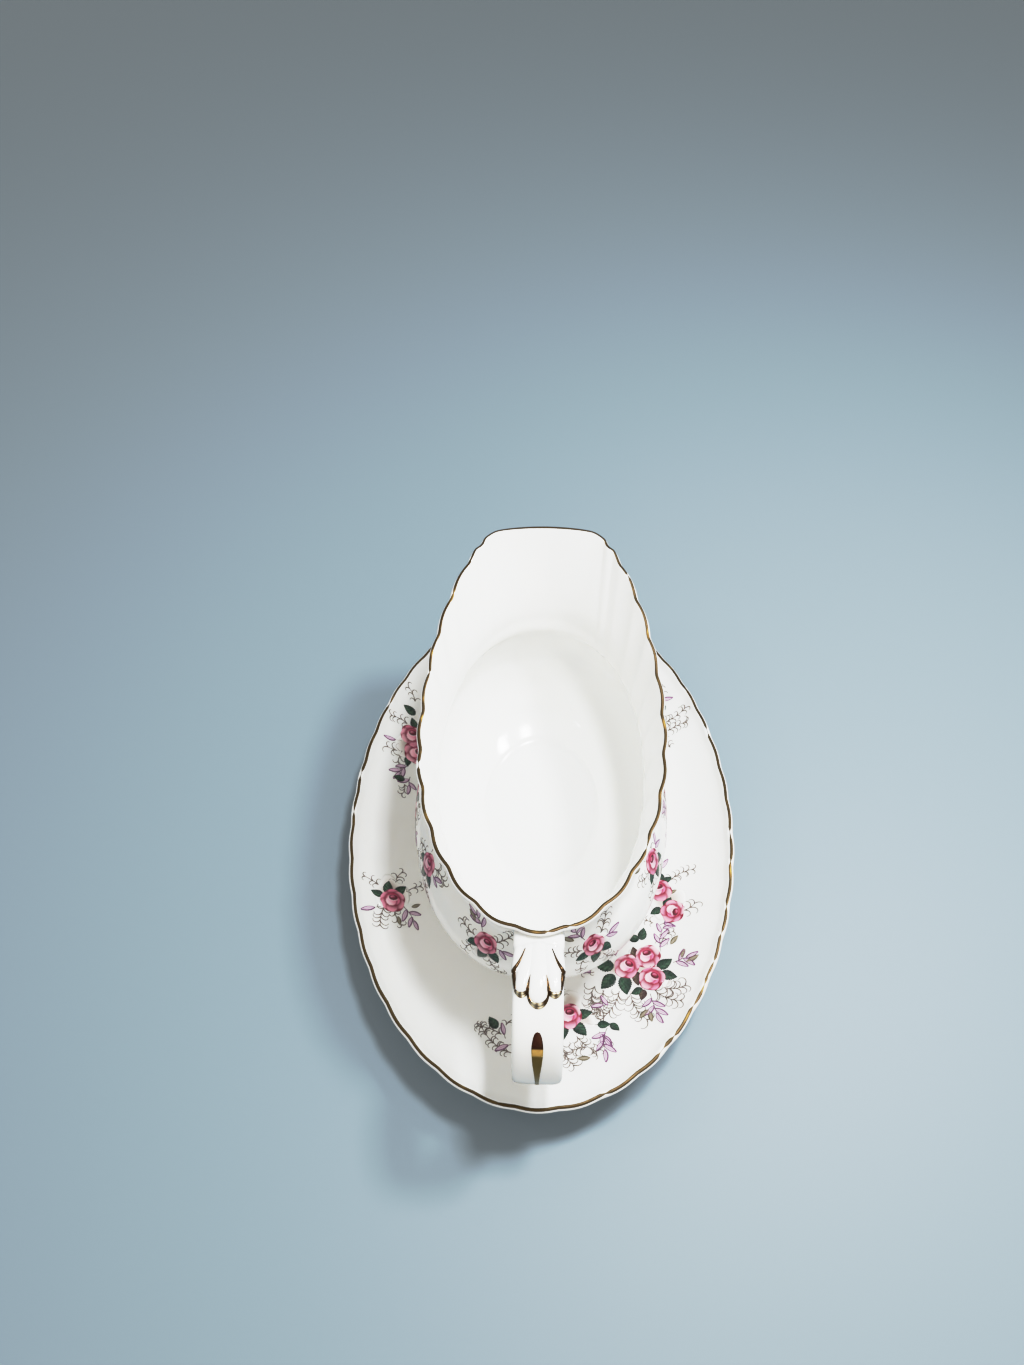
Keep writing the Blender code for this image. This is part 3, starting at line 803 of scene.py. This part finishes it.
class Sprays:
    """The printed flowers of one body, a film for each kind of thing drawn."""

    def __init__(self, seed):
        self.draw = random.Random(seed)
        self.films = {kind: Film() for kind in PRINT_KINDS}

    def rose(self, place, size, up):
        up += self.draw.uniform(-0.4, 0.4)
        wobble = [self.draw.uniform(0, 6.3) for _ in range(2)]
        turn, circle = circled(56)
        edge = rose_outline(turn, wobble)[:, None] * circle
        rings = ROSE_MOUTH + np.linspace(0, 1, 19)[1:, None, None] * (edge - ROSE_MOUTH)
        tints = rose_tints(np.concatenate([rings.reshape(-1, 2), [ROSE_MOUTH]]), self.draw)
        ahead = heading(up)
        axes = size * np.array([[ahead[1], -ahead[0]], ahead])
        self.films["rose"].patch(place + ROSE_MOUTH @ axes, place + rings @ axes, 0.14, tints)

    def wash(self, x, y, size):
        """A soft brown shadow that fades out into the china."""
        turn, circle = circled(28)
        wobble = self.draw.uniform(0, 6.3)
        edge = (1 + 0.16 * np.sin(3 * turn + wobble) + 0.1 * np.sin(5 * turn))[:, None] * circle
        shares = np.linspace(0, 1, 9)[1:, None, None]
        place = np.array([x, y])
        fade = 0.75 - 0.75 * smooth_step(0.3, 1, np.repeat(shares[:, 0], len(turn)))
        tints = shade(CHINA_COLOUR, SHADOW, np.append(fade, 0.75))
        self.films["wash"].patch(place, place + size * shares * edge, 0.03, tints)

    def leaf(self, x, y, degrees, length, colours=LEAF_GREENS):
        """A toothed leaf: dark edges and ribs, and one half lighter than the other."""
        steps, columns = 19, 9
        angle = math.radians(degrees) + self.draw.uniform(-0.1, 0.1)
        root = np.array([x, y]) - 0.5 * length * heading(angle)
        path = bowed(root, angle - 0.15, length, 0.3 * self.draw.choice((1, -1)), steps)
        t = np.linspace(0, 1, steps)
        teeth = 1 + 0.07 * np.where(np.arange(steps) % 2, 1, -1) * (t > 0.12)
        half = 0.33 * length * np.sin(np.pi * (0.02 + 0.98 * t) ** 0.75) ** 0.85 * teeth
        side = self.draw.choice((1, -1))
        along, across = np.meshgrid(t, side * np.linspace(-1, 1, columns), indexing="ij")
        from_rib = np.abs(across)
        ribs = 0.5 + 0.5 * np.cos(2 * np.pi * (4.2 * along - 1.3 * from_rib))
        lit = (0.15 + 0.85 * smooth_step(-0.2, 0.5, across)) * smooth_step(1.05, 0.45, from_rib) * ribs
        lit *= smooth_step(0, 0.3, along) * smooth_step(1.0, 0.7, along)
        dark, middle, light = colours
        tint = shade(dark, middle, smooth_step(1.0, 0.3, from_rib) * (0.5 + 0.5 * ribs))
        tint = shade(tint, light, 0.7 * lit)
        self.films["leaf"].stroke(path, half, 0.09, tint, columns=columns)
        self.films["vein"].stroke(path[:-2], np.linspace(0.13, 0.05, steps - 2), 0.11, dark)

    def slender_leaf(self, base, angle, length):
        """A slender leaf, pale inside a darker line."""
        path = bowed(base, angle, length, self.draw.uniform(-0.5, 0.5), 11)
        half = 0.17 * length * slim(11)[1]
        pale, dark = LAVENDER_FILL, shade(LAVENDER_LINE, LAVENDER_FILL, 0.6)
        tint = [pale, pale, dark, pale, pale]
        self.films["sprig"].stroke(path, half, 0.05, tint, columns=5)
        for side, thick in ((1, 0.13), (-1, 0.24)):
            edge = path + side * (half * 0.9)[:, None] * right_of(path)
            self.films["sprig"].stroke(edge, thick, 0.07, LAVENDER_LINE)

    def sprig(self, x, y, degrees, length, leaves):
        """A stem with slender leaves to both sides and one at its tip."""
        steps = 14
        angle = math.radians(degrees)
        bend = self.draw.uniform(-0.7, 0.7)
        stem = bowed((x, y), angle, length, bend, steps)
        self.films["sprig"].stroke(stem, np.linspace(0.14, 0.08, steps), 0.04, FERN)
        for n in range(leaves):
            t = (n + 1) / leaves
            side = 0 if n == leaves - 1 else (1 if n % 2 else -1)
            lean = angle + bend * t + side * self.draw.uniform(0.6, 0.95)
            self.slender_leaf(stem[round(t * (steps - 1))], lean, self.draw.uniform(4.0, 5.3))

    def bud(self, x, y, degrees, length):
        """A small olive leaf with a dark edge and rib."""
        path = bowed((x, y), math.radians(degrees), length, self.draw.uniform(-0.4, 0.4), 11)
        dark = 0.3 * np.array(OLIVE)
        tint = [dark, OLIVE, shade(OLIVE, CHINA_COLOUR, 0.3), OLIVE, dark]
        self.films["bud"].stroke(path, 0.21 * length * slim(11)[1], 0.06, tint, columns=5)
        self.films["bud"].stroke(path[:-1], 0.08, 0.075, dark)

    def fern(self, x, y, degrees, length, reach=4.8):
        """A stem with fine fronds that spring from both sides and curl over."""
        angle = math.radians(degrees)
        steps = 18
        bend = self.draw.choice((1, -1)) * self.draw.uniform(0.3, 1.3)
        stem = bowed((x, y), angle, length, bend, steps)
        self.films["fern"].stroke(stem, np.linspace(0.19, 0.10, steps), 0.035, FERN)
        pairs = max(3, round(length / 1.75))
        for n in range(pairs):
            t = 0.1 + 0.9 * n / (pairs - 1)
            for side in (1, -1):
                size = (reach - 0.6 * t) * self.draw.uniform(0.95, 1.3)
                start = angle + bend * t + side * self.draw.uniform(0.35, 0.7)
                curl = side * self.draw.uniform(2.6, 3.7)
                place = np.clip(t + self.draw.uniform(-0.4, 0.4) / pairs, 0, 1)
                frond = bowed(stem[int(place * (steps - 1))], start, size, curl, 12, power=1.5)
                self.films["fern"].stroke(frond, np.linspace(0.21, 0.09, 12), 0.04, FERN)

    def spray(self, canvas, washes=(), ferns=(), sprigs=(), buds=(), browns=(), leaves=(), roses=(),
              up=0.0, size=4.7):
        """Draw one group, from what lies lowest in it to its roses."""
        for film in self.films.values():
            film.canvas = canvas
        brown_leaf = partial(self.leaf, colours=LEAF_BROWNS)
        for paint, rows in ((self.wash, washes), (self.fern, ferns), (self.sprig, sprigs),
                            (self.bud, buds), (brown_leaf, browns), (self.leaf, leaves)):
            for row in rows:
                paint(*row)
        for x, y, tilt in roses:
            self.rose((x, y), size * self.draw.uniform(0.95, 1.06), up + math.radians(tilt))

    def finish(self, body, materials):
        for kind, film in self.films.items():
            film.finish(f"{body}_{kind}_print", body, materials[kind])


# Where the sprays lie on the stand, in x and y. A rose has the tilt of its mouth in degrees, a wash
# its size, a leaf, fern or bud its heading in degrees from +X towards +Y and its length, and a fern
# sometimes the reach of its fronds. A sprig has its heading, its length and how many leaves it has.
STAND_SPRAYS = [
    # behind the handle and to its right, the fullest
    dict(roses=[(-57.4, -33.2, -20), (-53.8, -41.2, 20), (-62.6, -42, -60)],
         washes=[(-59.5, -38.5, 8.5), (-65, -35, 4.5), (-58, -29.5, 4.5), (-63.5, -46.5, 3.5)],
         leaves=[(-57.6, -24.6, 95, 7.6), (-63.8, -26.6, 150, 7.4), (-64.8, -32.6, 185, 7.6),
                 (-56.8, -47, -60, 6.4), (-61.8, -48.2, -115, 6.2), (-67.8, -36.6, 130, 4.6),
                 (-46.2, -35.8, 70, 5), (-44.3, -39.6, -20, 5.2)],
         browns=[(-52.4, -36.2, 10, 5.8), (-62.4, -37, 185, 5.6), (-69, -38.8, 185, 4.4)],
         ferns=[(-65, -21, 150, 8), (-66.5, -24, 185, 10), (-67, -30, 165, 13),
                (-68, -34, 185, 12), (-67, -42.5, 215, 11), (-66.5, -45.5, 240, 8),
                (-70, -19.5, 205, 7), (-49, -46.5, -10, 7, 3), (-58.5, -20, 120, 6, 3.6)],
         sprigs=[(-53.4, -29.6, 40, 3, 4), (-59.5, -21, 110, 3, 2), (-52, -46, 5, 11.5, 6),
                 (-57, -50, -75, 5, 4), (-68.6, -41, 190, 8, 5), (-72.5, -27, 80, 3, 2)],
         buds=[(-57.5, -54.5, -70, 5), (-55.5, -53, -20, 3.8), (-49.5, -49.8, -35, 4.6),
               (-75.5, -40.2, 185, 4.4), (-74.8, -40, 130, 4.8)]),
    # beside the handle
    dict(roses=[(-76.6, -11.2, 10)],
         washes=[(-72, -12, 5), (-77.5, -16.5, 4)],
         leaves=[(-75, -16.6, -60, 6), (-80.8, -15.8, -115, 6.6), (-82.4, -9.4, 175, 6.4),
                 (-79.2, -23.8, -70, 4.6), (-80.4, -28, -115, 4.2)],
         ferns=[(-70.5, -9.5, 10, 6, 3.4), (-84, -14, 215, 9, 3.6), (-88.2, -17.5, 95, 11, 3.8),
                (-86.5, -8.5, 190, 10), (-90.5, -19, -75, 7, 3.4), (-76, -20, -30, 6, 3.4)],
         sprigs=[(-79.4, -18, -95, 8, 0), (-81, -25, 155, 8.5, 5), (-82.5, -22, -120, 3, 2)],
         buds=[(-92.2, -18.6, 95, 4.6)]),
    # right side, by the belly
    dict(roses=[(-26.4, -47.2, 20), (-35.8, -51.6, -90)],
         washes=[(-31, -49.5, 7)],
         leaves=[(-20.4, -47.6, 25, 4.8), (-21.8, -50.6, -60, 4), (-35.4, -45.4, 120, 4.8),
                 (-31.4, -50, -45, 4.6)],
         ferns=[(-22.5, -51.5, -50, 10, 3.4), (-36, -55, -85, 6, 4.2), (-40, -44, 60, 5, 2.6)],
         sprigs=[(-18.5, -48.5, 10, 4.5, 3), (-41, -46.5, -70, 5, 3)],
         buds=[(-28.2, -50.8, -60, 3.6)]),
    # left side, towards the handle
    dict(roses=[(-34.8, 57.2, -15)],
         washes=[(-31.5, 58, 6.5)],
         leaves=[(-29.6, 60.2, 20, 5.6), (-29.4, 55.4, -25, 5.4), (-33.6, 63.2, 95, 4.6)],
         ferns=[(-29.5, 63, 60, 6, 3.2), (-27, 57, 5, 6, 3.6), (-30, 52.5, -40, 6, 3.2),
                (-38.5, 60, 165, 8, 3.8), (-39.5, 56, 200, 6, 3.4)],
         sprigs=[(-38.4, 60.8, 110, 2.6, 1), (-36.5, 53, -130, 7, 4)],
         buds=[(-36.2, 50, -70, 3.6), (-41, 54.6, 200, 3.8)]),
    # left side, under the spout
    dict(roses=[(41, 56.6, 30), (33.6, 54.6, -40)],
         washes=[(37, 57, 6.5)],
         leaves=[(52.4, 58.6, 60, 5.6), (47.2, 56.6, 15, 4.6), (20.2, 60.4, 80, 4.6),
                 (29, 57, 200, 4.6)],
         ferns=[(46, 59, 60, 7, 3.6), (33, 60, 110, 6, 4), (31, 60.5, 150, 6, 3.8),
                (18, 58, 200, 5, 3.2), (57, 56.5, 10, 6, 3.2)],
         sprigs=[(37.5, 60.6, 95, 2.6, 1), (27, 57, 120, 5, 4), (22, 56, 170, 4, 3)]),
    # right side, under the spout
    dict(leaves=[(57.4, -52.6, 10, 4.8), (44.8, -52.8, 25, 4.6), (52, -51.8, 160, 4.2)],
         ferns=[(50, -53, -80, 10, 3.6), (46, -55, -65, 8, 3.6), (38, -55.5, 20, 7, 3),
                (62, -52.4, 8, 9, 3.6)],
         sprigs=[(61, -51.4, -90, 1, 1)]),
    # left of the handle
    dict(leaves=[(-80.2, 16.6, 60, 5.2)],
         ferns=[(-91, 8.5, 75, 17, 3.4), (-84, 13, 60, 9, 3), (-80.5, 11.5, -30, 6, 3)],
         sprigs=[(-87.8, 9, 85, 1.5, 1), (-85.5, 11.5, 20, 1.5, 1)]),
]

# Groups on the bowl, in the canvas's own u and v, and where they lie: degrees from +X towards +Y
# that the group faces, and its height
WALL_POSY = dict(
    size=4.4, up=math.pi / 2, roses=[(0, 0, 0)], washes=[(0.5, -2.5, 6)], buds=[(-6, 5.4, 140, 4.4)],
    leaves=[(4.6, -3.4, -35, 5.6), (0.2, -5.6, -95, 5.8), (-4.6, -3, -145, 5.2)],
    ferns=[(-4.5, 0.5, 175, 7, 3.4), (2.6, -6, -70, 8, 3.4), (3.5, 3, 40, 8, 3.6),
           (-5, -4.5, -125, 6, 3.2)],
    sprigs=[(-2.5, 4, 120, 5.5, 4), (4.4, 0.6, 5, 2, 2)],
)
WALL_BUNCH = dict(
    size=4.4, up=math.pi / 2, roses=[(0, 1.4, 0), (7.6, -1.8, -30), (-7.6, -2, 30)],
    washes=[(0, -2, 8), (8.5, -4.5, 5), (-8.5, -4.5, 5)],
    leaves=[(3.6, -5.4, -70, 6.4), (-3.2, -5.8, -110, 6.4), (13, 0.6, 20, 6), (-13, 0.2, 160, 6),
            (4.8, 6.4, 65, 5.4)],
    browns=[(-4.4, 5.6, 115, 5.2)],
    ferns=[(12, -4, -30, 11), (-12, -5, 210, 11), (0, 6.5, 90, 8), (0, -8, -95, 9, 4),
           (8.5, 4, 45, 8, 4), (-8.5, 4, 140, 8, 4), (-6, -8, -130, 6, 3.4)],
    sprigs=[(8, -6.5, -60, 6, 5), (-8, 3, 120, 6, 5), (16, 1.6, 10, 3, 3), (-16, 1.2, 175, 3, 3)],
    buds=[(-9.6, -7.4, -120, 4.4), (9, 7, 60, 4.4)],
)
WALL_SPRAYS = [
    (165, 55, WALL_POSY), (-164.5, 55, WALL_POSY), (134, 54, WALL_POSY), (-132, 55, WALL_POSY),
    (94, 43, WALL_BUNCH), (-92, 43, WALL_BUNCH), (45, 52, WALL_POSY), (-47, 52, WALL_POSY),
    (12, 44, WALL_POSY), (-12, 44, WALL_POSY),
]


def make_prints(stand_tree, bowl_tree, materials):
    from_above = projected(stand_tree, np.array([0, 0, 10]), *np.eye(3)[:2], reach=50.0)
    on_stand = Sprays(seed=3)
    for group in STAND_SPRAYS:
        on_stand.spray(from_above, **group)
    on_stand.finish("stand", materials)
    on_boat = Sprays(seed=8)
    for azimuth, height, group in WALL_SPRAYS:
        on_boat.spray(wall_canvas(bowl_tree, azimuth, height), **group)
    on_boat.finish("boat", materials)


def make_handle_gilding(gilt):
    """Gold round the ends of the leaf's lobes and in its valleys, and a teardrop on the bend.

    The teardrop has a painted dark reflection at its head, then a band of painted highlight, then
    brown, and pales to its tail.
    """
    def over_leaf(uv):
        s, a = uv[..., 0], uv[..., 1]
        return strap_point(s, a, np.maximum(leaf_height(s, a), 0))

    leaf_lines = Film(over_leaf)
    for place, reach, turns, painted_glints in GILT_ARCS:
        degrees = np.linspace(*turns, 41)
        path = place + reach * heading(np.radians(degrees))
        width = 0.34 + 0.42 * np.cos(np.radians(degrees)) ** 2
        # painted highlights: the tint turns pale near each listed turn, in place of glints of light
        painted_glint = sum(np.exp(-((degrees - glint) / PAINTED_GLINT_WIDTH) ** 2) for glint in painted_glints)
        tint = shade(LEAF_GOLD_PAINTED_DARK, GOLD_PAINTED_GLINT, np.minimum(painted_glint, 1))[:, None]
        leaf_lines.stroke(path, width, 0.42, tint, columns=9, crown=0.9)
    for side in (1, -1):
        for line, widths in GILT_VALLEYS:
            path = spline([(s, side * a) for s, a in line], np.linspace(0, 3, 16))
            leaf_lines.stroke(path, np.linspace(*widths, 16), 0.3, LEAF_GOLD_PAINTED_DARK, columns=7, crown=0.9)
    leaf_lines.finish("handle_leaf_gilding", "boat", gilt)

    def over_strap(uv):
        return strap_point(uv[..., 0], uv[..., 1], np.zeros(uv.shape[:-1]))

    teardrop = Film(over_strap)
    outline = spline(TEARDROP, np.linspace(0, len(TEARDROP) - 1, 160))
    distance = outline[:, 0]
    path = np.stack([distance, np.zeros(len(outline))], axis=1)
    tint = shade(GOLD_BROWN, GOLD_TAIL, smooth_step(38, 46, distance))
    # painted highlight: a bright band across the teardrop
    tint = shade(tint, GOLD_PAINTED_HIGHLIGHT, smooth_step(33.1, 32.5, distance))
    # painted dark reflection at its head
    tint = shade(tint, GOLD_PAINTED_DARK_REFLECTION, smooth_step(31.1, 30.7, distance))
    teardrop.stroke(path, outline[:, 1], 0.05, tint[:, None], columns=9)
    teardrop.finish("handle_teardrop_gilding", "boat", gilt)


# Materials

def new_material(name, roughness, metallic=0.0):
    material = bpy.data.materials.new(name)
    material.use_nodes = True
    shader = material.node_tree.nodes["Principled BSDF"]
    shader.inputs["Roughness"].default_value = roughness
    shader.inputs["Metallic"].default_value = metallic
    return material, shader


def add_noise(material, scale, detail):
    tree = material.node_tree
    place = tree.nodes.new("ShaderNodeTexCoord")
    noise = tree.nodes.new("ShaderNodeTexNoise")
    noise.inputs["Scale"].default_value = scale
    noise.inputs["Detail"].default_value = detail
    tree.links.new(place.outputs["Object"], noise.inputs["Vector"])
    return noise.outputs["Fac"]


def between(material, factor, low, high):
    """A number that runs from low to high as the factor goes over the middle of its range."""
    tree = material.node_tree
    spread = tree.nodes.new("ShaderNodeMapRange")
    spread.inputs["From Min"].default_value = 0.3
    spread.inputs["From Max"].default_value = 0.7
    spread.inputs["To Min"].default_value = low
    spread.inputs["To Max"].default_value = high
    tree.links.new(factor, spread.inputs["Value"])
    return spread.outputs["Result"]


def mixed(material, factor, a, b):
    """A colour between a and b; either may be the output of another node."""
    tree = material.node_tree
    mix = tree.nodes.new("ShaderNodeMix")
    mix.data_type = "RGBA"
    tree.links.new(factor, mix.inputs["Factor"])
    for socket, value in ((mix.inputs["A"], a), (mix.inputs["B"], b)):
        if isinstance(value, tuple):
            socket.default_value = (*value, 1.0)
        else:
            tree.links.new(value, socket)
    return mix.outputs["Result"]


def set_colour(material, shader, scale, share, a, b, detail=2.0):
    """A colour that wanders from a towards b, up to a share of the way."""
    factor = between(material, add_noise(material, scale, detail), 0, share)
    material.node_tree.links.new(mixed(material, factor, a, b), shader.inputs["Base Color"])


def set_roughness(material, shader, scale, low, high):
    roughness = between(material, add_noise(material, scale, 2.0), low, high)
    material.node_tree.links.new(roughness, shader.inputs["Roughness"])


def set_bump(material, shader, scale, depth, detail=2.0):
    """Bumps of a depth in metres, from noise of a scale."""
    tree = material.node_tree
    bump = tree.nodes.new("ShaderNodeBump")
    bump.inputs["Strength"].default_value = 1.0
    bump.inputs["Distance"].default_value = depth
    tree.links.new(add_noise(material, scale, detail), bump.inputs["Height"])
    tree.links.new(bump.outputs["Normal"], shader.inputs["Normal"])


def china_material():
    material, shader = new_material("glazed_china_white", 0.1)
    set_colour(material, shader, 22.0, 1, CHINA_CREAM, CHINA_WHITE)
    set_roughness(material, shader, 45.0, 0.07, 0.13)
    set_bump(material, shader, 110.0, 0.00003)
    shader.inputs["Subsurface Weight"].default_value = 0.35
    shader.inputs["Subsurface Radius"].default_value = (1.0, 0.93, 0.82)
    shader.inputs["Subsurface Scale"].default_value = TRANSLUCENCE
    return material


def bare_material():
    material, shader = new_material("unglazed_foot", 0.7)
    set_colour(material, shader, 260.0, 1, BARE_LIGHT, BARE_DARK)
    set_roughness(material, shader, 400.0, 0.6, 0.85)
    set_bump(material, shader, 900.0, 0.00008, detail=4.0)
    return material


def gilt_material(name, smoothest, roughest):
    """Burnished gold in its film's own tint, a little cloudy and uneven."""
    material, shader = new_material(name, smoothest, metallic=0.9)
    # the tint carries painted glints and painted dark reflections
    set_colour(material, shader, 260.0, 0.35, tinted(material), GOLD_CLOUD, detail=4.0)
    set_roughness(material, shader, 300.0, smoothest, roughest)
    set_bump(material, shader, 420.0, 0.00007)
    return material


def tinted(material):
    """The colour that a mesh's points carry."""
    tint = material.node_tree.nodes.new("ShaderNodeVertexColor")
    tint.layer_name = "tint"
    return tint.outputs["Color"]


def print_material(name):
    """Printed colour under the glaze: its film's own tint, a little uneven, with the glaze's gloss."""
    material, shader = new_material(name, 0.12)
    set_colour(material, shader, 900.0, 0.05, tinted(material), PRINT_PALE, detail=3.0)
    set_roughness(material, shader, 60.0, 0.08, 0.16)
    return material


# Stage

def add_floor():
    half = 1.6
    corners = [(-half, -half, 0), (half, -half, 0), (half, half, 0), (-half, half, 0)]
    mesh = bpy.data.meshes.new("floor")
    mesh.from_pydata(corners, [], [(0, 1, 2, 3)])
    material, shader = new_material("pale_floor", 0.55)
    shader.inputs["Base Color"].default_value = (*FLOOR_COLOUR, 1)
    mesh.materials.append(material)
    floor = new_object("floor", mesh)


def add_light(name, place, size, power, colour):
    """A soft rectangular light that looks at the object."""
    light = bpy.data.lights.new(name, "AREA")
    light.shape = "RECTANGLE"
    light.size, light.size_y = size
    light.energy = power
    light.color = colour
    item = new_object(name, light)
    item.location = place
    item.rotation_euler = (Vector(LIT_POINT) - Vector(place)).to_track_quat("-Z", "Y").to_euler()


def add_world():
    world = bpy.data.worlds.new("studio")
    world.use_nodes = True
    background = world.node_tree.nodes["Background"]
    background.inputs["Color"].default_value = (*WORLD_COLOUR, 1)
    background.inputs["Strength"].default_value = WORLD_STRENGTH
    bpy.context.scene.world = world


def set_tones():
    """Deepen the shadows a little, lift the mid tones and hold back the brightest whites."""
    view = bpy.context.scene.view_settings
    view.view_transform = "Standard"
    view.use_curve_mapping = True
    tones = view.curve_mapping
    brightest = TONES[-1][0]
    tones.white_level = (brightest, brightest, brightest)
    curve = tones.curves[3]
    curve.points[-1].location = (1, TONES[-1][1])
    for light, shown in TONES[:-1]:
        curve.points.new(light / brightest, shown)
    tones.update()


def add_camera():
    """Looks down over the handle's side of the boat."""
    pitch, turn, roll = (math.radians(angle) for angle in CAMERA_ANGLES)
    flat = math.cos(pitch)
    forward = Vector((flat * math.cos(turn), flat * math.sin(turn), -math.sin(pitch)))
    level = Vector((math.sin(turn), -math.cos(turn), 0))
    above = level.cross(forward)
    right = math.cos(roll) * level + math.sin(roll) * above
    up = -math.sin(roll) * level + math.cos(roll) * above
    data = bpy.data.cameras.new("camera")
    data.sensor_width = SENSOR_WIDTH
    data.lens = CAMERA_LENS
    data.clip_start = 0.01
    camera = new_object("camera", data)
    camera.matrix_world = (Matrix.Translation(Vector(CAMERA_PLACE) * MM)
                           @ Matrix((right, up, -forward)).transposed().to_4x4())
    bpy.context.scene.camera = camera


def main():
    add_camera()
    add_world()
    add_floor()
    for light in LIGHTS:
        add_light(*light)
    set_tones()
    china, bare = china_material(), bare_material()
    rim_gilt = gilt_material("rim_gold", 0.3, 0.5)
    stand_tree = make_stand(china, bare, rim_gilt)
    bowl_tree = make_bowl(china, rim_gilt)
    make_boat_foot(china, bare)
    make_handle(china, bowl_tree)
    make_leaf(china)
    make_handle_gilding(gilt_material("burnished_gold", 0.12, 0.28))
    prints = {kind: print_material(kind + "_print") for kind in PRINT_KINDS}
    make_prints(stand_tree, bowl_tree, prints)


main()
